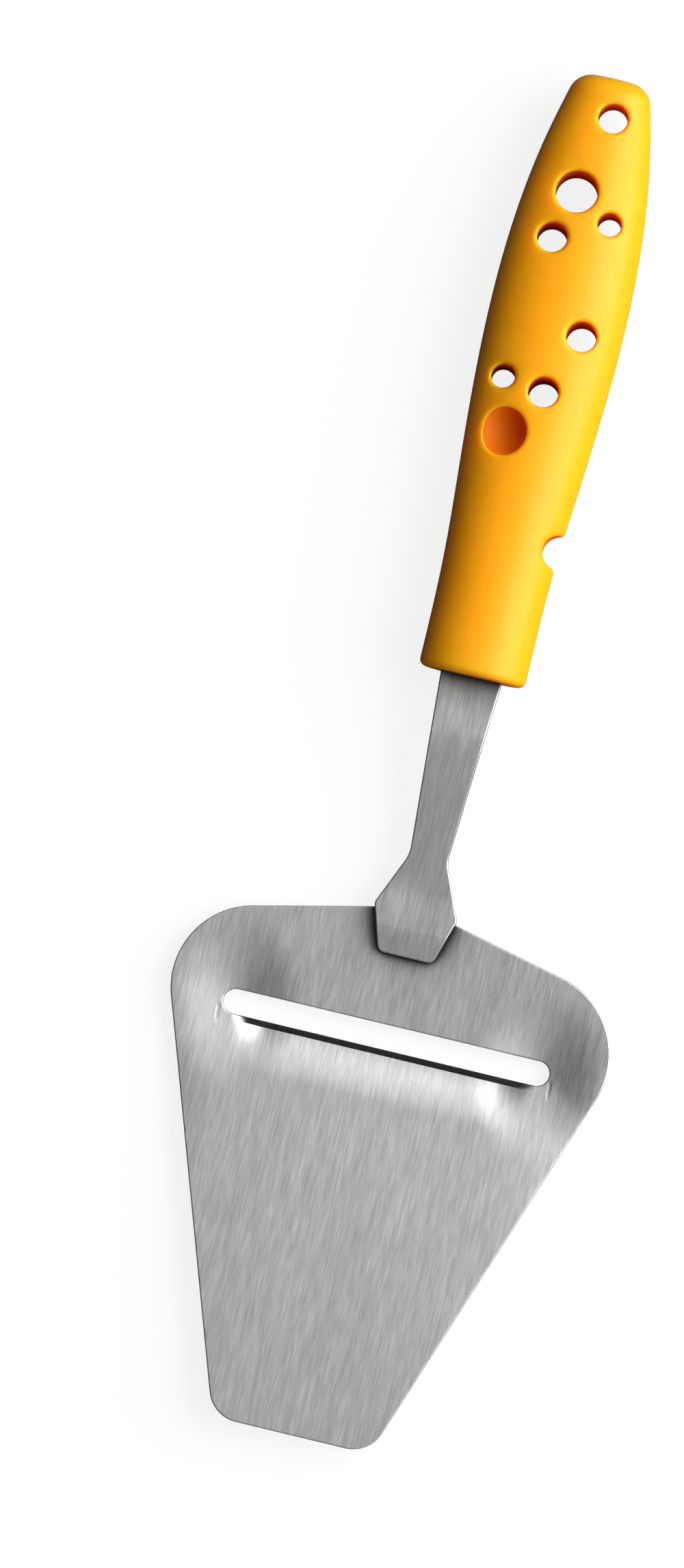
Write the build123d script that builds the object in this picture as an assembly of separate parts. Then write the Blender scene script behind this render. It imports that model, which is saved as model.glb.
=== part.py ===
from build123d import *
import math
import os

# A cheese slicer that lies level on a table, with its top face up, the butt of its handle at +Y
# and the tip of its blade at -Y. The origin is on the table, at the middle of the length and on
# the line of symmetry of the blade and neck. Lengths are in millimetres, angles in degrees.

# Handle, an oval moulding. Its belly lies on the table.
handle_length = 108.0
handle_width = 24.2
handle_thickness = 15.2
butt_round = 3.0
collar_chamfer = 1.0
rim_chamfer = 0.4

# Sections of the handle: share of the length from the butt, shares of the belly's width and thickness
handle_section_shares = (
    (0.000, 0.537, 0.580),
    (0.122, 0.789, 0.790),
    (0.210, 0.909, 0.895),
    (0.410, 1.000, 1.000),
    (0.675, 0.884, 0.950),
    (0.807, 0.807, 0.915),
    (1.000, 0.787, 0.900),
)

# Holes of the handle. Each place is a share of the length from the butt, and a share of half the
# width from the middle line, positive to the right.
hang_hole_radius = 2.6
hang_hole_from_butt = 7.3
hang_hole_offset = 1.5
large_hole_radius = 3.7
large_hole_place_shares = ((0.198, -0.140),)
middle_hole_radius = 2.65
middle_hole_place_shares = ((0.279, -0.331), (0.426, 0.413), (0.528, 0.066))
small_hole_radius = 2.08
small_hole_place_shares = ((0.238, 0.430), (0.516, -0.554))
hollow_radius = 4.1
hollow_depth = 3.2
hollow_place_share = (0.604, -0.400)
bite_radius = 2.95
bite_place_share = (0.7725, 0.818)

# Neck, one bar from the pad on the blade to the end of the tang inside the handle
bar_thickness = 2.5
neck_length = 41.3
neck_collar_width = 10.9
waist_width = 6.74
waist_from_back = 8.7
waist_round = 6.0
pad_width = 14.9
pad_widest_from_back = 0.9
pad_end_width = 9.9
pad_overlap = 9.15
pad_corner_round = 1.4
pad_ramp_run = 4.0
pad_ramp_drop = 0.7
bar_edge_chamfer = 0.3
tang_end_width = 7.0
tang_corner_round = 2.6
tang_cover = 4.8
lock_hole_radius = 1.6
lock_hole_from_end = 6.0
bend_start_from_back = 4.0
bend_end_from_collar = 12.0
bend_radius = 28.0

# Blade, one sheet with a fold along the middle of its slot and a lip pressed down at the slot
sheet_thickness = 1.0
blade_length = 95.0
blade_width = 78.5
shoulder_radius = 14.5
shoulder_from_back = 20.5
back_nose_radius = 4.0
tip_width = 31.7
tip_corner_radius = 6.0
tip_fold_angle = 2.5
fold_radius = 60.0
slot_length = 58.8
slot_width = 4.4
edge_from_back = 25.7
lip_drop = 1.7
lip_run = 9.0
lip_ramp = 4.5
bevel_width = 1.1
bevel_land = 0.15
weld_mark_radius = 1.8
weld_mark_depth = 0.15
weld_mark_pitch = 4.6

# How far a cutting body runs past the surface that it cuts
overrun = 6.0

# A face looks up where its normal's upright share is over this
level_share = 0.5

# Places along the length
overall_length = handle_length + neck_length + blade_length
butt_y = overall_length / 2
collar_y = butt_y - handle_length
back_y = collar_y - neck_length
tip_y = back_y - blade_length
edge_y = back_y - edge_from_back
fold_y = edge_y + slot_width / 2
pad_end_y = back_y - pad_overlap

# Heights over the table
handle_mid_z = handle_thickness / 2
sheet_z = lip_drop
pad_z = sheet_z + sheet_thickness
pad_mid_z = pad_z + bar_thickness / 2


def mirrored(points):
    """Returns the outline's right side followed by the same points on its left, end to end."""
    return points + [(-x, y) for x, y in reversed(points)]


def handle_place(shares):
    """Returns the point of the handle's plan that a pair of place shares stands for."""
    along, across = shares
    return (across * handle_width / 2, butt_y - along * handle_length)


def handle_form():
    """The handle's outer form, with a round butt and a chamfer at the collar."""
    sections = []
    for along, width, thickness in handle_section_shares:
        origin = (0, butt_y - along * handle_length, handle_mid_z)
        plane = Plane(origin=origin, x_dir=(1, 0, 0), z_dir=(0, -1, 0))
        sections.append(plane * Ellipse(width * handle_width / 2, thickness * handle_thickness / 2))
    form = loft(sections)
    ends = form.faces().filter_by(GeomType.PLANE).sort_by(Axis.Y)
    form = fillet(ends[-1].edges(), butt_round)
    collar = form.faces().filter_by(GeomType.PLANE).sort_by(Axis.Y)[0]
    return chamfer(collar.edges(), collar_chamfer)


def through_holes():
    """The centre and radius of every round hole that goes right through the handle."""
    holes = [((hang_hole_offset, butt_y - hang_hole_from_butt), hang_hole_radius)]
    for places, radius in (
        (large_hole_place_shares, large_hole_radius),
        (middle_hole_place_shares, middle_hole_radius),
        (small_hole_place_shares, small_hole_radius),
    ):
        holes += [(handle_place(place), radius) for place in places]
    return holes


def upright_cylinder(centre, radius):
    """A cylinder at this place of the plan that runs past both sides of the handle."""
    x, y = centre
    return Pos(x, y, handle_mid_z) * Cylinder(radius, handle_thickness + overrun)


def rim_edges(body, centre):
    """The curved edges of the round wall that stands nearest to this place of the plan."""
    middle = Vector(*centre, handle_mid_z)
    walls = body.faces().filter_by(GeomType.CYLINDER) + body.faces().filter_by(GeomType.SPHERE)
    nearest = min(walls, key=lambda wall: (wall.bounding_box().center() - middle).length)
    return nearest.edges().filter_by(GeomType.BSPLINE)


def hollow_ball(form):
    """The ball that presses the blind round hollow into the handle's top."""
    x, y = handle_place(hollow_place_share)
    line = Axis((x, y, handle_mid_z), (0, 0, 1))
    surface_z = max(point.Z for point, normal in form.find_intersection_points(line))
    ball_radius = (hollow_radius**2 + hollow_depth**2) / (2 * hollow_depth)
    return Pos(x, y, surface_z - hollow_depth + ball_radius) * Sphere(ball_radius)


def make_handle(neck):
    """The handle moulded round the neck's tang, with its holes, its hollow and its bite."""
    form = handle_form()
    cutters = [(handle_place(hollow_place_share), hollow_ball(form))]
    cutters += [(centre, upright_cylinder(centre, radius)) for centre, radius in through_holes()]
    bite_centre = handle_place(bite_place_share)
    cutters.append((bite_centre, upright_cylinder(bite_centre, bite_radius)))
    body = form
    for centre, cutter in cutters:
        body -= cutter
        body = chamfer(rim_edges(body, centre), rim_chamfer)
    return body - neck


def tang_end_y():
    """The tang ends where enough plastic is left between it and the nearest through hole."""
    nearest = min(y - radius for (x, y), radius in through_holes())
    return nearest - tang_cover


def neck_outline():
    """The bar's outline in plan, from the tang's end to the pad's end."""
    right_side = [
        (tang_end_width / 2, tang_end_y()),
        (neck_collar_width / 2, collar_y),
        (waist_width / 2, back_y + waist_from_back),
        (pad_width / 2, back_y - pad_widest_from_back),
        (pad_end_width / 2, pad_end_y),
    ]
    radii = [tang_corner_round, 0, waist_round, pad_corner_round, pad_corner_round]
    line = FilletPolyline(*mirrored(right_side), radius=radii + radii[::-1], close=True)
    return make_face(line)


def bent_bar():
    """A bar wider than the neck, bent up from the blade to the middle of the handle."""
    centre_line = FilletPolyline(
        (0, pad_end_y - overrun, pad_mid_z),
        (0, back_y + bend_start_from_back, pad_mid_z),
        (0, collar_y - bend_end_from_collar, handle_mid_z),
        (0, tang_end_y() + overrun, handle_mid_z),
        radius=bend_radius,
    )
    start = Plane(origin=centre_line @ 0, x_dir=(1, 0, 0), z_dir=centre_line % 0)
    return sweep(start * Rectangle(pad_width + overrun, bar_thickness), path=centre_line)


def pad_ramp():
    """The wedge that thins the pad's top towards its end."""
    top = pad_z + bar_thickness
    slope = pad_ramp_drop / pad_ramp_run
    side = Polyline(
        (0, pad_end_y + pad_ramp_run, top),
        (0, pad_end_y - overrun, top - pad_ramp_drop - overrun * slope),
        (0, pad_end_y - overrun, top + overrun),
        (0, pad_end_y + pad_ramp_run, top + overrun),
        close=True,
    )
    return extrude(make_face(side), amount=pad_width, dir=(1, 0, 0), both=True)


def top_rim(bar):
    """The edges round the bar's top face, as far as the handle."""
    top_edges = []
    for face in bar.faces():
        if face.normal_at().Z > level_share:
            top_edges += face.edges()
    rim = [edge for edge in top_edges if sum(edge.is_same(other) for other in top_edges) == 1]
    return [edge for edge in rim if edge.center().Y < collar_y]


def make_neck():
    """The neck with its pad and its tang, and broken edges round its top face outside the handle."""
    prism = extrude(neck_outline(), amount=handle_thickness)
    bar = (bent_bar() - pad_ramp()) & prism
    bar = chamfer(top_rim(bar), bar_edge_chamfer)
    lock_hole = Pos(0, tang_end_y() - lock_hole_from_end, handle_mid_z)
    return bar - lock_hole * Cylinder(lock_hole_radius, handle_thickness)


def blade_outline():
    """The blade's outline in plan: straight runs round two shoulders, a nose and two tip corners."""
    shoulder_x = blade_width / 2 - shoulder_radius
    shoulder_y = back_y - shoulder_from_back
    tip_x = tip_width / 2 - tip_corner_radius
    corner_y = tip_y + tip_corner_radius
    circles = [Pos(0, back_y - back_nose_radius) * Circle(back_nose_radius)]
    for side in (-1, 1):
        circles.append(Pos(side * shoulder_x, shoulder_y) * Circle(shoulder_radius))
        circles.append(Pos(side * tip_x, corner_y) * Circle(tip_corner_radius))
    return make_hull([circle.edges() for circle in circles])


def tip_rise(distance):
    """How far the folded-up tip lies over the back of the sheet, this far from the fold."""
    return distance * math.tan(math.radians(tip_fold_angle))


def folded_sheet():
    """A sheet wider than the blade, flat at the back and folded up a little at the slot."""
    low_line = FilletPolyline(
        (0, back_y + overrun, sheet_z),
        (0, fold_y, sheet_z),
        (0, tip_y - overrun, sheet_z + tip_rise(fold_y - tip_y + overrun)),
        radius=fold_radius,
    )
    high_line = Pos(0, 0, sheet_thickness) * low_line
    ends = [Line(low_line @ 0, high_line @ 0), Line(low_line @ 1, high_line @ 1)]
    side = make_face(low_line.edges() + high_line.edges() + ends)
    return extrude(side, amount=blade_width, dir=(1, 0, 0), both=True)


def lip_spans():
    """The lip's spans across the blade: where each starts and ends, and how far down it is there.

    The last two values are 0 at the height of the sheet and 1 at the full drop of the lip.
    """
    ends_x = slot_length / 2 - slot_width / 2
    full_x = ends_x - lip_ramp
    return (
        (-ends_x, -full_x, 0, 1),
        (-full_x, full_x, 1, 1),
        (full_x, ends_x, 1, 0),
    )


def pressed_surface(span, ys, level_zs, pressed_zs):
    """A Bezier face over one span, smooth from its level heights to its pressed heights.

    ys are the places of the control points along the blade, with two heights for each.
    """
    start_x, end_x, start_press, end_press = span
    presses = (start_press, start_press, end_press, end_press)
    steps = len(presses) - 1
    rows = []
    for step, press in enumerate(presses):
        x = start_x + (end_x - start_x) * step / steps
        heights = [low * (1 - press) + down * press for low, down in zip(level_zs, pressed_zs)]
        rows.append([Vector(x, y, z) for y, z in zip(ys, heights)])
    return Face.make_bezier_surface(rows)


def lip_piece(span):
    """One span of the lip: lowest at the cutting edge, level with the tip at the end of its run."""
    ys = (edge_y, edge_y - lip_run / 2, edge_y - lip_run)
    level_zs = [sheet_z + tip_rise(fold_y - y) for y in ys]
    pressed_zs = [sheet_z - lip_drop] + level_zs[1:]
    underside = pressed_surface(span, ys, level_zs, pressed_zs)
    return Solid.extrude(underside, Vector(0, 0, sheet_thickness))


def bevel_cutter(span):
    """What is ground off the top of one span of the lip, fading out at the slot's two ends."""
    edge_z = sheet_z - lip_drop
    slope = (sheet_thickness - bevel_land) / bevel_width
    reach = bevel_width + overrun
    ys = (edge_y + overrun, edge_y - reach)
    pressed_zs = [edge_z + bevel_land + slope * (edge_y - y) for y in ys]
    level_zs = [z + lip_drop + sheet_thickness for z in pressed_zs]
    ground = pressed_surface(span, ys, level_zs, pressed_zs)
    return Solid.extrude(ground, Vector(0, 0, reach * slope + overrun))


def lip_window():
    """The part of the folded sheet that the lip takes the place of, with the slot beside it."""
    start_x = lip_spans()[0][0]
    window = Pos(0, edge_y - lip_run / 2) * Rectangle(-2 * start_x, lip_run)
    slot = Pos(0, fold_y) * SlotOverall(slot_length, slot_width)
    return extrude(window + slot, amount=handle_thickness)


def weld_marks():
    """Two shallow round marks that spot welding leaves on the blade's underside, below the pad."""
    middle_y = back_y - pad_overlap / 2
    marks = []
    for side in (-1, 1):
        place = Pos(0, middle_y + side * weld_mark_pitch / 2, sheet_z)
        marks.append(place * Cylinder(weld_mark_radius, 2 * weld_mark_depth))
    return marks


def make_blade():
    """The blade: one sheet with its outline, fold, slot, pressed lip and ground cutting edge."""
    blade = folded_sheet() & extrude(blade_outline(), amount=handle_thickness)
    blade -= lip_window()
    for span in lip_spans():
        blade += lip_piece(span)
    for span in lip_spans():
        blade -= bevel_cutter(span)
    for mark in weld_marks():
        blade -= mark
    return blade


def main():
    """Makes the three pieces and writes one file for each."""
    neck = make_neck()
    pieces = {"blade": make_blade(), "neck": neck, "handle": make_handle(neck)}
    os.makedirs("parts", exist_ok=True)
    for name, shape in pieces.items():
        export_step(shape, os.path.join("parts", name + ".step"))


main()
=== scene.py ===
"""Dresses a cheese slicer: a brushed steel blade and neck, and a yellow moulded handle with holes.

Meshes are drafted in millimetres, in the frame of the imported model, and become metres as objects.
"""

from __future__ import annotations

import logging
import math
from collections.abc import Callable, Iterable, Sequence
from dataclasses import dataclass, field
from enum import Enum
from functools import partial

import bmesh
import bpy
import numpy
from mathutils import Matrix, Vector
from mathutils.geometry import delaunay_2d_cdt
from mathutils.kdtree import KDTree


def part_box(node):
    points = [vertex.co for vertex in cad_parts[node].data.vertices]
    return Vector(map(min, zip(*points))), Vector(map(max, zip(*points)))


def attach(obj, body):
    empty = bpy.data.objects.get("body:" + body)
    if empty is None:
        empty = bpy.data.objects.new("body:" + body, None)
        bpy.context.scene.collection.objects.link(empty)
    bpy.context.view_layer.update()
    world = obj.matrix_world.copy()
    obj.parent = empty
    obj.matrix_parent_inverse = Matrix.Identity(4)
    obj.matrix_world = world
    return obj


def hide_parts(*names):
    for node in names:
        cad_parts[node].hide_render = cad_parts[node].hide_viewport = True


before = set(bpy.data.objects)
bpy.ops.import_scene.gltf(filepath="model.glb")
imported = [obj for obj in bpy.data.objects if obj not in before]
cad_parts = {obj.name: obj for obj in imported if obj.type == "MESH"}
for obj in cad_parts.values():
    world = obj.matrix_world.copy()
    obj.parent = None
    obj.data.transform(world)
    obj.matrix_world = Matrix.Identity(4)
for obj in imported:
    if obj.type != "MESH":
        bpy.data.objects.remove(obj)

LOG = logging.getLogger("cheese_slicer")
MM = 0.001
FULL_TURN = 2 * math.pi
QUARTER_TURN = math.pi / 2
MERGE_DISTANCE = 0.004
FILL_DISTANCE = 0.001
COLLAPSE_DISTANCE = 0.0004
INSIDE_LOOPS = 1
USUAL_NOISE = (0.3, 0.7)
NO_TO_YES = (0.0, 1.0)
WHITE = (1.0, 1.0, 1.0, 1.0)

Plan = tuple[float, float]
Triple = tuple[float, float, float]
Height = Callable[[float, float], float]
Socket = bpy.types.NodeSocket
# Angles round the handle's section, each with its place along the handle.
SkinRing = list[tuple[float, float]]


class Finish(Enum):
    """The finishes of the slicer, with the order of their slots on a piece. The bore finish is painted
    shade: a darker, redder plastic on the walls of the holes, the bite and the hollow.
    """

    BODY = 0
    BORE_PAINTED_SHADE = 1


def smooth_share(value: float) -> float:
    """Eases a share between 0 and 1, with level ends."""
    share = min(max(value, 0.0), 1.0)
    return share * share * (3 - 2 * share)


def soft_corner(distance: float, blend: float) -> float:
    """Returns the distance past a corner, or 0 before it, rounded over the blend on both sides.

    Args:
        distance: how far past the corner the place is, negative before it.
        blend: half the length of the rounded stretch.

    Returns:
        The softened distance.
    """
    if distance <= -blend:
        return 0.0
    if distance >= blend:
        return distance
    return (distance + blend) ** 2 / (4 * blend)


def following(items: Sequence) -> list:
    """Returns the item after each one, all round."""
    return [*items[1:], items[0]]


def preceding(items: Sequence) -> list:
    """Returns the item before each one, all round."""
    return [items[-1], *items[:-1]]


def spread(start: float, end: float, step: float) -> list[float]:
    """Returns evenly spaced values from start to end, about a step apart.

    Args:
        start: the first value.
        end: the last value.
        step: the spacing to come close to.

    Returns:
        The values, both ends included.
    """
    count = max(1, round(abs(end - start) / step))
    return [start + (end - start) * i / count for i in range(count + 1)]


def root(function: Callable[[float], float], low: float, high: float) -> float:
    """Finds where a function changes sign between two values, by halving.

    Args:
        function: the function, with opposite signs at the two values.
        low: the first value.
        high: the second value.

    Returns:
        The value where the sign changes.
    """
    halvings = 40
    negative_low = function(low) < 0
    for _ in range(halvings):
        middle = (low + high) / 2
        if (function(middle) < 0) == negative_low:
            low = middle
        else:
            high = middle
    return (low + high) / 2


def is_inside(point: Sequence[float], loop: Sequence[Plan]) -> bool:
    """Says whether a flat point lies inside a closed loop.

    Args:
        point: the point.
        loop: the loop's points in order.

    Returns:
        True if it lies inside.
    """
    inside = False
    x, y = point[0], point[1]
    for (ax, ay), (bx, by) in zip(loop, following(loop)):
        if (ay > y) != (by > y) and x < (bx - ax) * (y - ay) / (by - ay) + ax:
            inside = not inside
    return inside


def inset_loop(loop: Sequence[Plan], distance: float) -> list[Plan]:
    """Moves each point of a closed loop to the left of its run.

    Args:
        loop: the loop's points in order.
        distance: how far the points move.

    Returns:
        The moved points, in the same order.
    """
    least_lean = 0.5
    moved = []
    for before, here, after in zip(preceding(loop), loop, following(loop)):
        first = Vector((here[0] - before[0], here[1] - before[1])).normalized()
        second = Vector((after[0] - here[0], after[1] - here[1])).normalized()
        bisector = Vector((-first.y - second.y, first.x + second.x)).normalized()
        reach = distance / max(bisector.dot(Vector((-first.y, first.x))), least_lean)
        moved.append((here[0] + bisector.x * reach, here[1] + bisector.y * reach))
    return moved


def arc(centre: Plan, radius: float, start: float, end: float, step: float) -> list[Plan]:
    """Returns points on an arc.

    Args:
        centre: the arc's centre.
        radius: its radius.
        start: the first angle in radians.
        end: the last angle in radians.
        step: the spacing along the arc to come close to.

    Returns:
        The points, both ends included.
    """
    angles = spread(start, end, step / radius)
    return [(centre[0] + radius * math.cos(a), centre[1] + radius * math.sin(a)) for a in angles]


def hull_of_rounds(rounds: Sequence[tuple[Plan, float]], step: float) -> list[Plan]:
    """Returns the outline that runs straight from one circle to the next, all round.

    Args:
        rounds: centre and radius of each circle, counter-clockwise.
        step: the spacing of points on the arcs.

    Returns:
        The outline's points, counter-clockwise.
    """
    normals = []
    for (here, radius), (there, next_radius) in zip(rounds, following(rounds)):
        way = Vector((there[0] - here[0], there[1] - here[1]))
        lean = (radius - next_radius) / way.length
        way.normalize()
        normal = way * lean + Vector((way.y, -way.x)) * math.sqrt(1 - lean * lean)
        normals.append(math.atan2(normal.y, normal.x))
    outline = []
    for (centre, radius), arriving, leaving in zip(rounds, preceding(normals), normals):
        turn = (leaving - arriving) % FULL_TURN
        outline += arc(centre, radius, arriving, arriving + turn, step)
    return outline


def rounded_corners(corners: Sequence[tuple[Plan, float]], step: float) -> list[Plan]:
    """Returns a closed outline through corners that are rounded.

    Args:
        corners: place and radius of each corner in order. A radius of 0 leaves it sharp.
        step: the spacing of points on the arcs.

    Returns:
        The outline's points.
    """
    outline = []
    places = [Vector(place) for place, _ in corners]
    for before, here, after, (_, radius) in zip(preceding(places), places, following(places), corners):
        if not radius:
            outline.append((here.x, here.y))
            continue
        back, ahead = (before - here).normalized(), (after - here).normalized()
        half = back.angle(ahead) / 2
        middle = here + (back + ahead).normalized() * (radius / math.sin(half))
        start = here + back * (radius / math.tan(half)) - middle
        end = here + ahead * (radius / math.tan(half)) - middle
        first = math.atan2(start.y, start.x)
        turn = (math.atan2(end.y, end.x) - first + math.pi) % FULL_TURN - math.pi
        outline += arc((middle.x, middle.y), radius, first, first + turn, step)
    return outline


def filled_loop(loop: Sequence[Plan], step: float) -> list[Plan]:
    """Adds points along the straight runs of a closed loop.

    Args:
        loop: the loop's points in order.
        step: the spacing to come close to.

    Returns:
        The loop with the added points.
    """
    filled = []
    for here, there in zip(loop, following(loop)):
        for share in spread(0.0, 1.0, step / max(math.dist(here, there), step))[:-1]:
            filled.append((here[0] + (there[0] - here[0]) * share, here[1] + (there[1] - here[1]) * share))
    return filled


def triangles_between(
    loops: Sequence[Sequence[Plan]],
    seeds: Iterable[Plan],
    lines: Sequence[Sequence[Plan]],
    clearance: float,
    is_kept: Callable[[Sequence[float]], bool],
) -> tuple[list[Vector], list[tuple[int, ...]]]:
    """Fills the space between loops with triangles.

    Args:
        loops: the closed loops that bound the space.
        seeds: loose points inside it.
        lines: open lines that the triangles' edges follow.
        clearance: how far seeds stay off loops and lines.
        is_kept: says whether a place belongs to the space.

    Returns:
        The flat points, and the triangles as indices into them.
    """
    points: list[Vector] = []
    edges: list[tuple[int, int]] = []
    for run, closed in [*((loop, True) for loop in loops), *((line, False) for line in lines)]:
        start = len(points)
        points += [Vector(place) for place in run]
        edges += [(i, i + 1) for i in range(start, len(points) - 1)]
        if closed:
            edges.append((len(points) - 1, start))
    tree = KDTree(len(points))
    for index, point in enumerate(points):
        tree.insert((point.x, point.y, 0), index)
    tree.balance()
    for x, y in seeds:
        if tree.find((x, y, 0))[2] > clearance and is_kept((x, y)):
            points.append(Vector((x, y)))
    flat, _, faces, *_ = delaunay_2d_cdt(points, edges, [], INSIDE_LOOPS, FILL_DISTANCE)
    kept = [face for face in faces if is_kept(sum((flat[i] for i in face), Vector((0, 0))) / 3)]
    return flat, kept


class MeshDraft:
    """The points and faces of one closed piece, in millimetres, before they become an object."""

    def __init__(self) -> None:
        """Starts with nothing."""
        self.points: list[Vector] = []
        self.faces: list[tuple[int, ...]] = []
        self.finishes: list[int] = []

    def ring(self, points: Iterable[Sequence[float]]) -> list[int]:
        """Adds points.

        Args:
            points: the points in order.

        Returns:
            Their indices.
        """
        start = len(self.points)
        self.points += [Vector(point) for point in points]
        return list(range(start, len(self.points)))

    def face(self, indices: Sequence[int], finish: Finish = Finish.BODY) -> None:
        """Adds one face with its finish."""
        self.faces.append(tuple(indices))
        self.finishes.append(finish.value)

    def bridge(self, first: Sequence[int], second: Sequence[int], finish: Finish = Finish.BODY) -> None:
        """Joins two closed rings of as many points by a band of faces.

        Args:
            first: indices of the first ring.
            second: indices of the second ring.
            finish: the band's finish.
        """
        for corners in zip(first, following(first), following(second), second):
            self.face(corners, finish)

    def stack(self, rings: Sequence[Iterable[Sequence[float]]], finish: Finish = Finish.BODY) -> None:
        """Joins closed rings one after another.

        Args:
            rings: the points of each ring.
            finish: the bands' finish.
        """
        indices = [self.ring(points) for points in rings]
        for first, second in zip(indices, indices[1:]):
            self.bridge(first, second, finish)

    def fan(self, ring: Sequence[Sequence[float]], tip: Sequence[float],
            finish: Finish = Finish.BODY) -> None:
        """Joins a closed ring to one point.

        Args:
            ring: the ring's points.
            tip: the point.
            finish: the fan's finish.
        """
        indices = self.ring(ring)
        end = self.ring([tip])[0]
        for here, there in zip(indices, following(indices)):
            self.face((here, there, end), finish)

    def make_object(self, name: str, materials: Sequence[bpy.types.Material],
                    sharp_degrees: float) -> bpy.types.Object:
        """Turns the draft into an object in metres.

        Args:
            name: the object's name.
            materials: a material for each finish in use.
            sharp_degrees: edges that turn by more than this stay sharp.

        Returns:
            The object, linked to the scene.
        """
        mesh = bpy.data.meshes.new(name)
        mesh.from_pydata(self.points, [], self.faces)
        mesh.polygons.foreach_set("material_index", self.finishes)
        work = bmesh.new()
        work.from_mesh(mesh)
        bmesh.ops.remove_doubles(work, verts=work.verts, dist=MERGE_DISTANCE)
        bmesh.ops.dissolve_degenerate(work, edges=work.edges, dist=COLLAPSE_DISTANCE)
        bmesh.ops.recalc_face_normals(work, faces=work.faces)
        open_edges = sum(not edge.is_manifold for edge in work.edges)
        work.to_mesh(mesh)
        work.free()
        mesh.transform(Matrix.Scale(MM, 4))
        mesh.shade_smooth()
        mesh.set_sharp_from_angle(angle=math.radians(sharp_degrees))
        for material in materials:
            mesh.materials.append(material)
        piece = bpy.data.objects.new(name, mesh)
        bpy.context.scene.collection.objects.link(piece)
        LOG.info("%s: %d faces, %d open edges", name, len(mesh.polygons), open_edges)
        return piece


class NodeBench:
    """The node tree of a material or of the world, with short calls to add and join nodes."""

    def __init__(self, owner: bpy.types.Material | bpy.types.World) -> None:
        """Empties the owner's node tree.

        Args:
            owner: the material or world.
        """
        owner.use_nodes = True
        self.tree = owner.node_tree
        self.tree.nodes.clear()

    def add(self, kind: str, **settings: object) -> bpy.types.Node:
        """Adds a node.

        Args:
            kind: the node's type, without its ShaderNode prefix.
            settings: attributes to set on it.

        Returns:
            The node.
        """
        node = self.tree.nodes.new("ShaderNode" + kind)
        for name, value in settings.items():
            setattr(node, name, value)
        return node

    def join(self, source: Socket, node: bpy.types.Node, socket: str | int) -> None:
        """Links an output to the named or numbered input of a node."""
        self.tree.links.new(source, node.inputs[socket])

    def set(self, node: bpy.types.Node, **values: object) -> None:
        """Sets inputs of a node, with underscores for the spaces of their names."""
        for name, value in values.items():
            node.inputs[name.replace("_", " ")].default_value = value

    def noise(self, per_metre: Sequence[float], detail: float, rough: float = 0.6) -> Socket:
        """Adds noise in the object's own space.

        Args:
            per_metre: how many cells a metre holds along x, y and z.
            detail: how many finer layers it has.
            rough: how strong the finer layers are.

        Returns:
            The noise's value.
        """
        place = self.add("TexCoord")
        mapping = self.add("Mapping")
        self.set(mapping, Scale=per_metre)
        self.join(place.outputs["Object"], mapping, "Vector")
        noise = self.add("TexNoise")
        self.set(noise, Scale=1.0, Detail=detail, Roughness=rough)
        self.join(mapping.outputs["Vector"], noise, "Vector")
        return noise.outputs["Fac"]

    def map_range(self, value: Socket, found: Plan, given: Plan, course: str = "LINEAR") -> Socket:
        """Maps a value from one range to another.

        Args:
            value: the value.
            found: the two ends of the range that it has.
            given: the two ends of the range that it gets.
            course: how it runs between the ends.

        Returns:
            The mapped value.
        """
        node = self.add("MapRange", interpolation_type=course)
        self.set(node, From_Min=found[0], From_Max=found[1], To_Min=given[0], To_Max=given[1])
        self.join(value, node, "Value")
        return node.outputs["Result"]

    def spread_out(self, noise: Socket, low: float, high: float) -> Socket:
        """Maps the usual range of noise to another range."""
        return self.map_range(noise, USUAL_NOISE, (low, high))

    def vary(self, noise: Socket, contrast: float) -> Socket:
        """Maps noise to factors that differ from 1 by up to the contrast."""
        return self.map_range(noise, USUAL_NOISE, (1 - contrast, 1 + contrast))

    def mix(self, share: Socket, first: Socket, second: Socket) -> Socket:
        """Mixes two shaders.

        Args:
            share: the share of the second one.
            first: the first shader.
            second: the second shader.

        Returns:
            The mixed shader.
        """
        node = self.add("MixShader")
        self.join(share, node, "Fac")
        self.join(first, node, 1)
        self.join(second, node, 2)
        return node.outputs["Shader"]

    def combine(self, kind: str, first: Socket, second: Socket) -> Socket:
        """Adds a sum on two values.

        Args:
            kind: the sum's name, such as MULTIPLY.
            first: the first value.
            second: the second value.

        Returns:
            The result.
        """
        node = self.add("Math", operation=kind)
        self.join(first, node, 0)
        self.join(second, node, 1)
        return node.outputs["Value"]

    def tint(self, colour: Sequence[float], factor: Socket) -> Socket:
        """Scales a colour by a value.

        Args:
            colour: the colour.
            factor: the value.

        Returns:
            The scaled colour.
        """
        node = self.add("VectorMath", operation="SCALE")
        node.inputs[0].default_value = colour
        self.join(factor, node, "Scale")
        return node.outputs["Vector"]

    def bump(self, height: Socket, depth: float, strength: float) -> Socket:
        """Adds a bump.

        Args:
            height: the height, from 0 to 1.
            depth: the depth in metres that it stands for.
            strength: how strongly it shows.

        Returns:
            The bumped normal.
        """
        node = self.add("Bump")
        self.set(node, Strength=strength, Distance=depth)
        self.join(height, node, "Height")
        return node.outputs["Normal"]

    def finish(self, shader: Socket, kind: str = "OutputMaterial") -> None:
        """Joins the last shader to the output."""
        self.join(shader, self.add(kind), "Surface")


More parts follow.
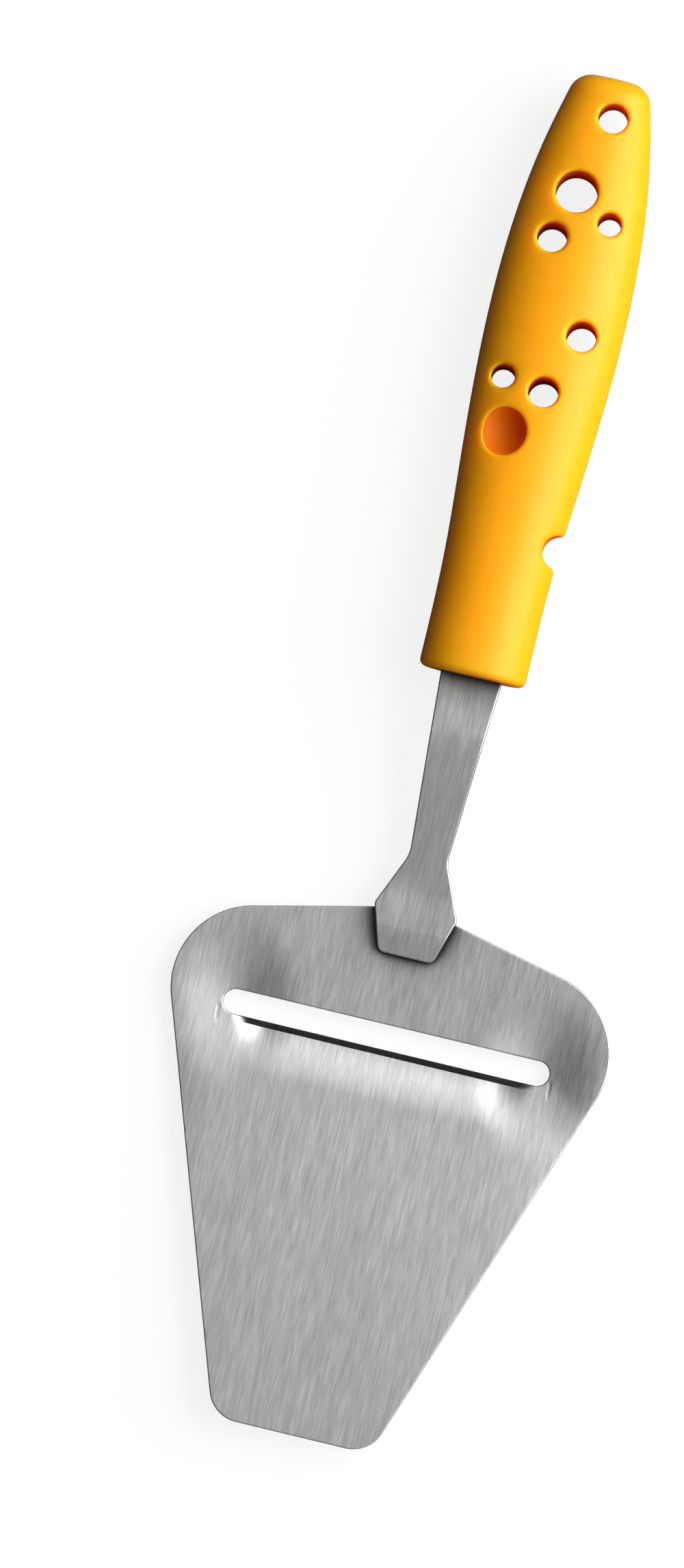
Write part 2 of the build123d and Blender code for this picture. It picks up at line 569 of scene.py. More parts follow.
@dataclass(frozen=True)
class BrushedSteel:
    """Stainless steel brushed along the tool, with fine lines, broader bands, faint scratches and painted
    shade in corners.
    """

    name: str
    colour: Triple = (0.62, 0.62, 0.61)
    roughness_low: float = 0.27
    roughness_high: float = 0.35
    anisotropy: float = 0.6
    line_contrast: float = 0.2
    band_contrast: float = 0.11
    scratch_contrast: float = 0.15
    lines_per_metre: Triple = (4200.0, 170.0, 400.0)
    bands_per_metre: Triple = (75.0, 22.0, 40.0)
    scratches_per_metre: Triple = (900.0, 120.0, 300.0)
    line_depth: float = 0.00001
    line_strength: float = 0.5
    # Painted shade: how far the occlusion reaches, the range it maps from, and the darkest tone it gives.
    painted_shade_reach: float = 0.007
    painted_shade_range: Plan = (0.6, 0.97)
    painted_shade_tone: float = 0.05

    def make(self) -> bpy.types.Material:
        """Makes the material.

        Returns:
            The material.
        """
        material = bpy.data.materials.new(self.name)
        bench = NodeBench(material)
        lines = bench.noise(self.lines_per_metre, detail=5.0, rough=0.65)
        bands = bench.noise(self.bands_per_metre, detail=3.0)
        scratches = bench.noise(self.scratches_per_metre, detail=8.0, rough=0.8)
        tone = bench.combine("MULTIPLY", bench.vary(lines, self.line_contrast),
                             bench.vary(bands, self.band_contrast))
        # Painted shade: ambient occlusion darkens the base colour in corners and beside the pad, standing
        # in for contact shadow.
        corner = bench.add("AmbientOcclusion", samples=8)
        bench.set(corner, Distance=self.painted_shade_reach)
        painted_shade = bench.map_range(corner.outputs["AO"], self.painted_shade_range, (self.painted_shade_tone, 1.0))
        tone = bench.combine("MULTIPLY", tone, painted_shade)
        shader = bench.add("BsdfPrincipled")
        bench.set(shader, Metallic=1.0, Anisotropic=self.anisotropy)
        bench.join(bench.tint(self.colour, tone), shader, "Base Color")
        rough = bench.combine("MULTIPLY", bench.vary(scratches, self.scratch_contrast),
                              bench.spread_out(bands, self.roughness_high, self.roughness_low))
        bench.join(rough, shader, "Roughness")
        bench.join(bench.bump(lines, self.line_depth, self.line_strength), shader, "Normal")
        across = bench.add("CombineXYZ")
        bench.set(across, X=1.0)
        bench.join(across.outputs["Vector"], shader, "Tangent")
        bench.finish(shader.outputs["BSDF"])
        return material


@dataclass(frozen=True)
class SatinPlastic:
    """Moulded plastic with a satin skin, slightly translucent, with fine grain and faint marks of use."""

    name: str
    colour: Triple
    roughness: float = 0.38
    shine: float = 0.35
    shine_tint: tuple[float, float, float, float] = (1.0, 0.82, 0.5, 1.0)
    glow_share: float = 0.8
    glow_radius: Triple = (1.0, 0.15, 0.03)
    glow_depth: float = 0.009
    grain_per_metre: Triple = (2200.0, 2200.0, 2200.0)
    marks_per_metre: Triple = (140.0, 60.0, 140.0)
    grain_depth: float = 0.00001
    grain_strength: float = 0.25
    grain_roughness: float = 0.03
    mark_roughness: float = 0.05
    mark_contrast: float = 0.03

    def make(self) -> bpy.types.Material:
        """Makes the material.

        Returns:
            The material.
        """
        material = bpy.data.materials.new(self.name)
        bench = NodeBench(material)
        grain = bench.noise(self.grain_per_metre, detail=3.0)
        marks = bench.noise(self.marks_per_metre, detail=6.0, rough=0.7)
        shader = bench.add("BsdfPrincipled")
        bench.set(shader, Subsurface_Weight=self.glow_share, Subsurface_Radius=self.glow_radius,
                  Subsurface_Scale=self.glow_depth, Specular_IOR_Level=self.shine,
                  Specular_Tint=self.shine_tint)
        bench.join(bench.tint(self.colour, bench.vary(marks, self.mark_contrast)), shader, "Base Color")
        low, high = self.roughness - self.mark_roughness, self.roughness + self.mark_roughness
        rough = bench.combine("ADD", bench.spread_out(grain, -self.grain_roughness, self.grain_roughness),
                              bench.spread_out(marks, low, high))
        bench.join(rough, shader, "Roughness")
        bench.join(bench.bump(grain, self.grain_depth, self.grain_strength), shader, "Normal")
        bench.finish(shader.outputs["BSDF"])
        return material


class SmoothCurve:
    """A curve with smooth bends through values at given places."""

    def __init__(self, places: Sequence[float], values: Sequence[float]) -> None:
        """Solves for the bends at the places, with none at the two ends.

        Args:
            places: the places, in rising order.
            values: the value at each place.
        """
        self.places, self.values = list(places), list(values)
        count = len(self.places)
        gaps = numpy.diff(self.places)
        slopes = numpy.diff(self.values) / gaps
        matrix, goal = numpy.eye(count), numpy.zeros(count)
        for i in range(1, count - 1):
            matrix[i, i - 1:i + 2] = (gaps[i - 1], 2 * (gaps[i - 1] + gaps[i]), gaps[i])
            goal[i] = 6 * (slopes[i] - slopes[i - 1])
        self.bends = numpy.linalg.solve(matrix, goal)

    def at(self, place: float) -> float:
        """Returns the curve's value at a place.

        Args:
            place: the place.

        Returns:
            The value.
        """
        last = len(self.places) - 2
        i = min(max(int(numpy.searchsorted(self.places, place)) - 1, 0), last)
        gap = self.places[i + 1] - self.places[i]
        after = (place - self.places[i]) / gap
        before = 1 - after
        bend = (before**3 - before) * self.bends[i] + (after**3 - after) * self.bends[i + 1]
        return float(before * self.values[i] + after * self.values[i + 1] + bend * gap * gap / 6)


@dataclass
class Plate:
    """A plate over an outline in plan, between two heights, with rounded edges."""

    low: Height
    high: Height
    edge_round: float
    round_steps: int = 4
    guard_share: float = 1.6
    most_fall: float = 0.45

    def rim_rings(self, loop: Sequence[Plan]) -> list[list[Triple]]:
        """Returns the rings of a rounded rim, from the top face round to the underside.

        Args:
            loop: the rim in plan, with the plate on its left.

        Returns:
            The points of each ring.
        """
        inner = inset_loop(loop, self.edge_round)
        turns = [QUARTER_TURN * step / self.round_steps for step in range(self.round_steps + 1)]
        top, bottom = [], []
        for turn in turns:
            over, under = [], []
            for (x, y), (inner_x, inner_y) in zip(loop, inner):
                share = math.sin(turn)
                px, py = inner_x + (x - inner_x) * share, inner_y + (y - inner_y) * share
                low, high = self.low(px, py), self.high(px, py)
                fall = min(self.edge_round, self.most_fall * (high - low)) * (1 - math.cos(turn))
                over.append((px, py, high - fall))
                under.append((px, py, low + fall))
            top.append(over)
            bottom.append(under)
        return top + bottom[::-1]

    def draft(self, outline: Sequence[Plan], openings: Sequence[Sequence[Plan]],
              lines: Sequence[Sequence[Plan]], seeds: Iterable[Plan], clearance: float) -> MeshDraft:
        """Drafts the plate.

        Args:
            outline: its outline, counter-clockwise.
            openings: its openings, clockwise.
            lines: lines where its faces bend.
            seeds: loose points of its faces.
            clearance: how far the seeds stay off loops and lines.

        Returns:
            The draft.
        """
        made = MeshDraft()
        loops = [outline, *openings]
        inner_loops = [inset_loop(loop, self.edge_round) for loop in loops]

        def is_kept(place: Sequence[float]) -> bool:
            """Says whether a place is on the plate's flat."""
            edge, *holes = inner_loops
            return is_inside(place, edge) and not any(is_inside(place, hole) for hole in holes)

        guards = [inset_loop(loop, self.edge_round * self.guard_share) for loop in loops]
        lines = [*lines, *([*guard, guard[0]] for guard in guards)]
        flat, faces = triangles_between(inner_loops, seeds, lines, clearance, is_kept)
        for height in (self.high, self.low):
            indices = made.ring((p.x, p.y, height(p.x, p.y)) for p in flat)
            for face in faces:
                made.face([indices[i] for i in face])
        for loop in loops:
            made.stack(self.rim_rings(loop))
        return made


@dataclass
class Blade:
    """The blade: a sheet with a faintly dished back, a tip folded up a little, and a lip pressed down."""

    thickness: float = 1.0
    shoulder_radius: float = 14.5
    shoulder_from_back: float = 20.5
    nose_radius: float = 4.0
    tip_width: float = 31.7
    tip_corner_radius: float = 6.0
    tip_rise_degrees: float = 2.5
    fold_blend: float = 1.6
    slot_length: float = 58.8
    slot_width: float = 4.4
    edge_from_back: float = 25.7
    lip_drop: float = 1.7
    lip_run: float = 9.0
    lip_ramp: float = 6.5
    lip_blend: float = 0.1
    crease_start: float = 29.8
    crease_slope: float = 0.84
    crease_blend: float = 2.0
    dish_depth: float = 0.35
    dish_fade: float = 12.0
    pull_depth: float = 0.85
    pull_across: float = 11.5
    pull_along: float = 15.0
    bevel_width: float = 1.1
    bevel_land: float = 0.15
    bevel_fade: float = 3.0
    mark_across: float = 29.9
    mark_below_fold: float = 2.35
    mark_half_width: float = 0.33
    mark_half_length: float = 1.5
    mark_depth: float = 0.08
    mark_end_slope: float = 3.0
    mark_lines: tuple[float, ...] = (-1.4, -1.0, 0.0, 1.0, 1.4)
    weld_radius: float = 1.8
    weld_depth: float = 0.15
    weld_pitch: float = 4.6
    weld_from_back: float = 4.575
    weld_shoulder: float = 0.35
    edge_round: float = 0.18
    arc_step: float = 0.5
    fine_step: float = 0.9
    coarse_step: float = 1.8
    clearance: float = 0.3
    sharp_degrees: float = 28.0
    box: tuple[Vector, Vector] = field(default_factory=lambda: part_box("blade"))

    def __post_init__(self) -> None:
        """Works out the blade's places from the box of its CAD node."""
        low, high = self.box
        self.half_width = (high.x - low.x) / 2 / MM
        self.tip_y, self.back_y = low.y / MM, high.y / MM
        self.sheet_z = low.z / MM + self.lip_drop
        self.edge_y = self.back_y - self.edge_from_back
        self.fold_y = self.edge_y + self.slot_width / 2
        self.slot_reach = self.slot_length / 2 - self.slot_width / 2
        self.weld_y = self.back_y - self.weld_from_back

    def outline(self) -> list[Plan]:
        """Works out the blade's outline.

        Returns:
            Its points, counter-clockwise.
        """
        shoulder_x = self.half_width - self.shoulder_radius
        shoulder_y = self.back_y - self.shoulder_from_back
        tip_x = self.tip_width / 2 - self.tip_corner_radius
        corner_y = self.tip_y + self.tip_corner_radius
        rounds = [
            ((0.0, self.back_y - self.nose_radius), self.nose_radius),
            ((-shoulder_x, shoulder_y), self.shoulder_radius),
            ((-tip_x, corner_y), self.tip_corner_radius),
            ((tip_x, corner_y), self.tip_corner_radius),
            ((shoulder_x, shoulder_y), self.shoulder_radius),
        ]
        return filled_loop(hull_of_rounds(rounds, self.arc_step), self.fine_step)

    def slot(self) -> list[Plan]:
        """Works out the slot's outline.

        Returns:
            Its points, clockwise.
        """
        radius, step = self.slot_width / 2, self.arc_step / 2
        right = arc((self.slot_reach, self.fold_y), radius, QUARTER_TURN, -QUARTER_TURN, step)
        left = arc((-self.slot_reach, self.fold_y), radius, -QUARTER_TURN, -3 * QUARTER_TURN, step)
        across = spread(self.slot_reach, -self.slot_reach, self.fine_step)[1:-1]
        lower = [(x, self.fold_y - radius) for x in across]
        upper = [(-x, self.fold_y + radius) for x in across]
        return right + lower + left + upper

    def press(self, x: float) -> float:
        """Returns how far the lip is pressed down at this place across, from 0 to 1."""
        return smooth_share((self.slot_reach - abs(x)) / self.lip_ramp)

    def level(self, x: float, y: float) -> float:
        """Returns the height of the sheet's underside without its lip.

        Args:
            x: the place across.
            y: the place along.

        Returns:
            The height.
        """
        past_fold = y - self.fold_y
        crease = self.crease_slope * soft_corner(abs(x) - self.crease_start, self.crease_blend)
        rise = math.tan(math.radians(self.tip_rise_degrees))
        rise *= soft_corner(self.fold_y - crease - y, self.fold_blend)
        dish = self.dish_depth * (x / self.half_width) ** 2 * smooth_share(1 + past_fold / self.dish_fade)
        off_slot = math.hypot((abs(x) - self.slot_reach) / self.pull_across, past_fold / self.pull_along)
        pull = self.pull_depth * smooth_share(1 - off_slot)
        return self.sheet_z + rise + dish - pull

    def mark(self, x: float, y: float) -> float:
        """Returns how deep the short pressed marks beside the slot's ends are.

        Args:
            x: the place across.
            y: the place along.

        Returns:
            The depth, 0 away from the marks.
        """
        across = abs(abs(x) - self.mark_across) / self.mark_half_width
        along = abs(y - self.fold_y + self.mark_below_fold) / self.mark_half_length
        return self.mark_depth * smooth_share(1 - across) * smooth_share(self.mark_end_slope * (1 - along))

    def low(self, x: float, y: float) -> float:
        """Returns the height of the underside, with its lip and its two weld marks.

        Args:
            x: the place across.
            y: the place along.

        Returns:
            The height.
        """
        past_edge = self.edge_y - y
        run_share = min(max(past_edge / self.lip_run, 0.0), 1.0)
        lip = 0.0
        if past_edge > -self.edge_round:
            lip = self.lip_drop * self.press(x) * (1 - run_share) ** 2
        mark = 0.0
        for side in (-1, 1):
            off = math.hypot(x, y - self.weld_y - side * self.weld_pitch / 2)
            mark = max(mark, smooth_share((self.weld_radius - off) / self.weld_shoulder))
        lowest = self.sheet_z - self.lip_drop
        above = soft_corner(self.level(x, y) - lip - lowest, self.lip_blend)
        return lowest + above + self.weld_depth * mark

    def high(self, x: float, y: float) -> float:
        """Returns the height of the top face, with the ground edge of the lip.

        Args:
            x: the place across.
            y: the place along.

        Returns:
            The height.
        """
        plain = self.low(x, y) + self.thickness - self.mark(x, y)
        if abs(y - self.weld_y) < self.weld_pitch:
            plain = self.level(x, y) + self.thickness
        past_edge = self.edge_y - y
        if past_edge < -self.edge_round:
            return plain
        fade = smooth_share((self.slot_reach - abs(x)) / self.bevel_fade)
        ground = (self.thickness - self.bevel_land) * fade * max(0.0, 1 - past_edge / self.bevel_width)
        return plain - ground

    def seeds(self) -> list[Plan]:
        """Spreads loose points over the faces, closer together at the lip and the fold.

        Returns:
            The points.
        """
        places = []
        fine_top, fine_bottom = self.fold_y + self.slot_width, self.edge_y - self.lip_run - self.fine_step
        rows = spread(self.tip_y, fine_bottom, self.coarse_step)[:-1]
        rows += spread(fine_bottom, fine_top, self.fine_step)[:-1]
        rows += spread(fine_top, self.back_y, self.coarse_step)
        for y in rows:
            step = self.fine_step if fine_bottom <= y < fine_top else self.coarse_step
            places += [(x, y) for x in spread(-self.half_width, self.half_width, step)]
        return places

    def bend_lines(self) -> list[list[Plan]]:
        """Works out the lines where the faces bend: at the ground edge and at all marks.

        Returns:
            The points of each line.
        """
        reach = self.slot_reach - self.edge_round
        ground_y = self.edge_y - self.bevel_width
        lines = [[(x, ground_y) for x in spread(-reach, reach, self.fine_step)]]
        mark_y = self.fold_y - self.mark_below_fold
        rows = spread(mark_y - self.mark_half_length, mark_y + self.mark_half_length, self.arc_step)
        for side in (-1, 1):
            for share in self.mark_lines:
                x = side * (self.mark_across + share * self.mark_half_width)
                lines.append([(x, y) for y in rows])
        for side in (-1, 1):
            centre = (0.0, self.weld_y + side * self.weld_pitch / 2)
            for radius in (self.weld_radius, self.weld_radius - self.weld_shoulder):
                lines.append(arc(centre, radius, 0.0, FULL_TURN, self.arc_step))
        return lines

    def build(self) -> bpy.types.Object:
        """Builds and dresses the blade.

        Returns:
            The blade.
        """
        plate = Plate(self.low, self.high, self.edge_round)
        draft = plate.draft(self.outline(), [self.slot()], self.bend_lines(), self.seeds(), self.clearance)
        steel = BrushedSteel("brushed_blade_steel")
        piece = draft.make_object("blade_sheet", [steel.make()], self.sharp_degrees)
        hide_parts("blade")
        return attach(piece, "root")


@dataclass
class Neck:
    """The neck: one bar from the pad on the blade to the tang inside the handle."""

    thickness: float = 2.5
    collar_width: float = 10.9
    waist_width: float = 6.74
    waist_from_back: float = 8.7
    waist_round: float = 6.0
    pad_width: float = 14.9
    pad_widest_from_back: float = 0.9
    pad_end_width: float = 9.9
    pad_corner_round: float = 1.4
    pad_ramp_run: float = 4.0
    pad_ramp_drop: float = 0.7
    tang_end_width: float = 7.0
    tang_corner_round: float = 2.6
    bend_start_from_back: float = 4.0
    bend_end_from_collar: float = 12.0
    bend_blend: float = 2.2
    edge_round: float = 0.2
    arc_step: float = 0.4
    seed_step: float = 1.0
    clearance: float = 0.333
    sharp_degrees: float = 40.0
    steel_colour: Triple = (0.60, 0.60, 0.59)
    steel_bands: Triple = (420.0, 14.0, 60.0)
    box: tuple[Vector, Vector] = field(default_factory=lambda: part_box("neck"))

    def __post_init__(self) -> None:
        """Works out the neck's places from the boxes of the CAD nodes."""
        low, high = self.box
        self.pad_end_y, self.tang_end_y = low.y / MM, high.y / MM
        self.pad_z = low.z / MM
        handle_low, handle_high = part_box("handle")
        self.collar_y = handle_low.y / MM
        self.handle_mid_z = (handle_low.z + handle_high.z) / 2 / MM
        self.back_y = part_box("blade")[1].y / MM
        self.bend_start_y = self.back_y + self.bend_start_from_back
        self.bend_end_y = self.collar_y - self.bend_end_from_collar

    def outline(self) -> list[Plan]:
        """Works out the bar's outline.

        Returns:
            Its points, counter-clockwise.
        """
        right = [
            ((self.pad_end_width / 2, self.pad_end_y), self.pad_corner_round),
            ((self.pad_width / 2, self.back_y - self.pad_widest_from_back), self.pad_corner_round),
            ((self.waist_width / 2, self.back_y + self.waist_from_back), self.waist_round),
            ((self.collar_width / 2, self.collar_y), 0.0),
            ((self.tang_end_width / 2, self.tang_end_y), self.tang_corner_round),
        ]
        left = [((-x, y), radius) for (x, y), radius in reversed(right)]
        return filled_loop(rounded_corners(right + left, self.arc_step), self.seed_step)

    def middle(self, y: float) -> float:
        """Returns the height of the bar's middle, which follows its two bends.

        Args:
            y: the place along.

        Returns:
            The height.
        """
        rise = self.handle_mid_z - self.pad_z - self.thickness / 2
        slope = rise / (self.bend_end_y - self.bend_start_y)
        climb = soft_corner(y - self.bend_start_y, self.bend_blend)
        climb -= soft_corner(y - self.bend_end_y, self.bend_blend)
        return self.pad_z + self.thickness / 2 + slope * climb

    def low(self, x: float, y: float) -> float:
        """Returns the height of the underside."""
        return self.middle(y) - self.thickness / 2

    def high(self, x: float, y: float) -> float:
        """Returns the height of the top face, thinner towards the pad's end."""
        thinned = soft_corner(self.pad_end_y + self.pad_ramp_run - y, self.edge_round)
        return self.middle(y) + self.thickness / 2 - self.pad_ramp_drop / self.pad_ramp_run * thinned

    def build(self) -> bpy.types.Object:
        """Builds and dresses the neck.

        Returns:
            The neck.
        """
        half = self.pad_width / 2
        rows = spread(self.pad_end_y, self.tang_end_y, self.seed_step)
        seeds = [(x, y) for y in rows for x in spread(-half, half, self.seed_step)]
        plate = Plate(self.low, self.high, self.edge_round)
        draft = plate.draft(self.outline(), [], [], seeds, self.clearance)
        steel = BrushedSteel("brushed_neck_steel", self.steel_colour, bands_per_metre=self.steel_bands)
        piece = draft.make_object("neck_bar", [steel.make()], self.sharp_degrees)
        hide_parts("neck")
        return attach(piece, "root")


@dataclass(frozen=True)
class RoundHole:
    """A round hole in plan, by its centre and radius."""

    x: float
    y: float
    radius: float


@dataclass
class Handle:
    """The handle: an oval moulding with through holes, a blind hollow and a bite out of its right edge."""

    butt_round: float = 3.0
    collar_round: float = 1.3
    rim_round: float = 0.75
    hang_hole_radius: float = 2.6
    hang_hole_from_butt: float = 7.3
    hang_hole_offset: float = 1.5
    hollow_radius: float = 4.4
    hollow_depth: float = 3.2
    hollow_rim_round: float = 0.3
    bite_radius: float = 2.95
    columns: int = 84
    row_step: float = 1.1
    rim_points: int = 56
    rim_steps: int = 5
    wall_steps: int = 4
    bowl_steps: int = 12
    end_steps: int = 8
    clearance_share: float = 0.45
    rim_search: Plan = (0.5, 1.5)
    sharp_degrees: float = 50.0
    skin_colour: Triple = (0.97, 0.39, 0.006)
    # Painted shade: the bore colour is darker and redder than the skin, standing in for the shade inside
    # the holes, the bite and the hollow.
    bore_painted_shade_colour: Triple = (0.72, 0.14, 0.004)
    bore_roughness: float = 0.55
    bore_shine: float = 0.12
    section_shares: tuple[Triple, ...] = (
        (0.000, 0.537, 0.580),
        (0.122, 0.789, 0.790),
        (0.210, 0.909, 0.895),
        (0.410, 1.000, 1.000),
        (0.675, 0.884, 0.950),
        (0.807, 0.807, 0.915),
        (1.000, 0.787, 0.900),
    )
    through_hole_shares: tuple[Triple, ...] = (
        (0.198, -0.140, 3.7),
        (0.279, -0.331, 2.65),
        (0.426, 0.413, 2.65),
        (0.528, 0.066, 2.65),
        (0.238, 0.430, 2.08),
        (0.516, -0.554, 2.08),
    )
    hollow_share: Plan = (0.604, -0.400)
    bite_share: Plan = (0.7725, 0.818)
    box: tuple[Vector, Vector] = field(default_factory=lambda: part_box("handle"))

    def __post_init__(self) -> None:
        """Works out the handle's places and curves from the box of its CAD node."""
        low, high = self.box
        self.collar_y, self.butt_y = low.y / MM, high.y / MM
        self.length = self.butt_y - self.collar_y
        self.half_width = (high.x - low.x) / 2 / MM
        self.mid_z = (low.z + high.z) / 2 / MM
        self.half_thickness = (high.z - low.z) / 2 / MM
        places = [row[0] for row in self.section_shares]
        self.width_curve = SmoothCurve(places, [row[1] for row in self.section_shares])
        self.thickness_curve = SmoothCurve(places, [row[2] for row in self.section_shares])
        along = spread(0.0, 1.0, 1 / len(places) ** 2)
        self.half_width /= max(self.width_curve.at(place) for place in along)
        self.half_thickness /= max(self.thickness_curve.at(place) for place in along)
        hang_hole_y = self.butt_y - self.hang_hole_from_butt
        self.holes = [RoundHole(self.hang_hole_offset, hang_hole_y, self.hang_hole_radius)]
        self.holes += [self.hole_at(shares, radius) for *shares, radius in self.through_hole_shares]
        self.hollow = self.hole_at(self.hollow_share, self.hollow_radius)
        self.bite = self.hole_at(self.bite_share, self.bite_radius)

    def hole_at(self, shares: Sequence[float], radius: float) -> RoundHole:
        """Returns the hole at a share of the length from the butt and a share of half the width."""
        along, across = shares
        return RoundHole(across * self.half_width, self.butt_y - along * self.length, radius)

    def half_sizes(self, y: float, inset: float = 0.0) -> tuple[float, float]:
        """Returns half the width and half the thickness at a place along.

        Args:
            y: the place along.
            inset: how far inside the skin.

        Returns:
            Both halves, less the inset.
        """
        along = (self.butt_y - y) / self.length
        half_width = self.width_curve.at(along) * self.half_width - inset
        return half_width, self.thickness_curve.at(along) * self.half_thickness - inset

    def skin(self, angle: float, y: float, inset: float = 0.0) -> Vector:
        """Returns the point of the skin at an angle round the section, 0 at the right."""
        half_width, half_thickness = self.half_sizes(y, inset)
        return Vector((half_width * math.cos(angle), y, self.mid_z + half_thickness * math.sin(angle)))

    def angle_over(self, x: float, y: float, inset: float = 0.0) -> float:
        """Returns the angle on the section's top half that lies over a place in plan."""
        half_width, _ = self.half_sizes(y, inset)
        return math.acos(min(max(x / half_width, -1.0), 1.0))

    def flat_place(self, angle: float, y: float) -> Plan:
        """Returns where a place of the skin is when the skin is rolled out flat."""
        return (angle * self.half_width, y)

    def hole_ring(self, hole: RoundHole, side: int, grow: float, inset: float) -> SkinRing:
        """Returns the angles and places along of a hole's rim on the skin.

        Args:
            hole: the hole.
            side: 1 for the top, -1 for the underside.
            grow: how much wider than the hole the ring is.
            inset: how far inside the skin it lies.

        Returns:
            Angle and place along of each point.
        """
        ring = []
        for index in range(self.rim_points):
            turn = FULL_TURN * index / self.rim_points
            x = hole.x + (hole.radius + grow) * math.cos(turn)
            y = hole.y + (hole.radius + grow) * math.sin(turn)
            ring.append((side * self.angle_over(x, y, inset), y))
        return ring

    def bite_ring(self, grow: float, inset: float) -> SkinRing:
        """Returns the angles and places along of the bite's rim, over the top and back underneath.

        Args:
            grow: how much wider than the bite the ring is.
            inset: how far inside the skin it lies.

        Returns:
            Angle and place along of each point.
        """
        reach = self.bite.radius + grow

        def outside(turn: float) -> float:
            """Returns how far the circle is outside the silhouette at a turn."""
            y = self.bite.y + reach * math.sin(turn)
            return self.bite.x + reach * math.cos(turn) - self.half_sizes(y, inset)[0]

        start, end = root(outside, 0.0, math.pi), root(outside, math.pi, FULL_TURN)
        over = []
        for index in range(self.rim_points + 1):
            share = (1 - math.cos(math.pi * index / self.rim_points)) / 2
            turn = start + (end - start) * share
            y = self.bite.y + reach * math.sin(turn)
            angle = self.angle_over(self.bite.x + reach * math.cos(turn), y, inset)
            over.append((0.0 if index in (0, self.rim_points) else angle, y))
        return over + [(-angle, y) for angle, y in over[-2:0:-1]]

    def rounded_rings(self, outer: Sequence[Vector], corner: Sequence[Vector],
                      inner: Sequence[Vector]) -> list[list[Vector]]:
        """Returns rings that turn smoothly from one ring past a corner to another.

        Args:
            outer: points on the skin.
            corner: points where skin and wall would meet.
            inner: points on the wall.

        Returns:
            The points of each ring.
        """
        pull = math.sqrt(0.5)
        rings = []
        for step in range(self.rim_steps + 1):
            share = step / self.rim_steps
            a, b, c = (1 - share) ** 2, 2 * pull * share * (1 - share), share**2
            rings.append([(p * a + q * b + r * c) / (a + b + c) for p, q, r in zip(outer, corner, inner)])
        return rings

    def surface_height(self, x: float, y: float) -> float:
        """Returns the height of the top of the skin over a place in plan."""
        return self.skin(self.angle_over(x, y), y).z

    def round_rim(self, draft: MeshDraft, ring_at: Callable[[float, float], SkinRing]) -> list[Vector]:
        """Drafts the rounded rim of an opening that goes right through.

        Args:
            draft: the draft to add to.
            ring_at: gives the opening's ring, grown and inset by so much.

        Returns:
            The points where the rim meets the wall.
        """
        outer, corner, inner = (
            [self.skin(angle, y, inset) for angle, y in ring_at(grow, inset)]
            for grow, inset in ((self.rim_round, 0.0), (0.0, 0.0), (0.0, self.rim_round))
        )
        draft.stack(self.rounded_rings(outer, corner, inner))
        return inner

    def cut_hole(self, draft: MeshDraft, hole: RoundHole) -> list[SkinRing]:
        """Drafts a through hole's two rims and its wall.

        Args:
            draft: the draft to add to.
            hole: the hole.

        Returns:
            The two loops that the hole leaves in the skin.
        """
        loops, walls = [], []
        for side in (1, -1):
            loops.append(self.hole_ring(hole, side, self.rim_round, 0.0))
            walls.append(self.round_rim(draft, partial(self.hole_ring, hole, side)))
        draft.stack(
            [[top.lerp(bottom, step / self.wall_steps) for top, bottom in zip(*walls)]
             for step in range(self.wall_steps + 1)],
            Finish.BORE_PAINTED_SHADE,
        )
        return loops

    def cut_bite(self, draft: MeshDraft) -> list[SkinRing]:
        """Drafts the bite's rim and its wall.

        Args:
            draft: the draft to add to.

        Returns:
            The loop that the bite leaves in the skin.
        """
        inner = self.round_rim(draft, self.bite_ring)
        over = inner[:self.rim_points + 1]
        under = [over[0], *inner[:self.rim_points:-1], over[-1]]
        columns = [
            draft.ring(top.lerp(bottom, step / self.wall_steps) for step in range(self.wall_steps + 1))
            for top, bottom in zip(over, under)
        ]
        for first, second in zip(columns, columns[1:]):
            for step in range(self.wall_steps):
                draft.face((first[step], first[step + 1], second[step + 1], second[step]), Finish.BORE_PAINTED_SHADE)
        return [self.bite_ring(self.rim_round, 0.0)]

    def cut_hollow(self, draft: MeshDraft) -> list[SkinRing]:
        """Drafts the blind hollow, part of a ball pressed into the top.

        Args:
            draft: the draft to add to.

        Returns:
            The loop that the hollow leaves in the skin.
        """
        hole = self.hollow
        ball_radius = (hole.radius**2 + self.hollow_depth**2) / (2 * self.hollow_depth)
        centre_z = self.surface_height(hole.x, hole.y) - self.hollow_depth + ball_radius
        centre = Vector((hole.x, hole.y, centre_z))
        loop, outer, corner, inner = [], [], [], []
        for index in range(self.rim_points):
            turn = FULL_TURN * index / self.rim_points
            way = Vector((math.cos(turn), math.sin(turn), 0))

            def outside(reach: float) -> float:
                """Returns how far outside the ball the skin is at this distance from its axis."""
                place = centre + way * reach
                return math.hypot(reach, self.surface_height(place.x, place.y) - centre.z) - ball_radius

            reach = root(outside, *(hole.radius * share for share in self.rim_search))
            far = centre + way * (reach + self.rim_round)
            near = centre + way * reach
            loop.append((self.angle_over(far.x, far.y), far.y))
            outer.append(self.skin(*loop[-1]))
            corner.append(self.skin(self.angle_over(near.x, near.y), near.y))
            ray = corner[-1] - centre
            dip = math.atan2(-ray.z, reach) + self.hollow_rim_round / ball_radius
            inner.append(centre + (way * math.cos(dip) - Vector((0, 0, math.sin(dip)))) * ball_radius)
        draft.stack(self.rounded_rings(outer, corner, inner))
        bottom = centre - Vector((0, 0, ball_radius))
        rings = [inner]
        for step in range(1, self.bowl_steps):
            share = step / self.bowl_steps
            rings.append([
                centre + (point - centre).slerp(bottom - centre, share) * ball_radius for point in inner
            ])
        draft.stack(rings, Finish.BORE_PAINTED_SHADE)
        draft.fan(rings[-1], bottom, Finish.BORE_PAINTED_SHADE)
        return [loop]

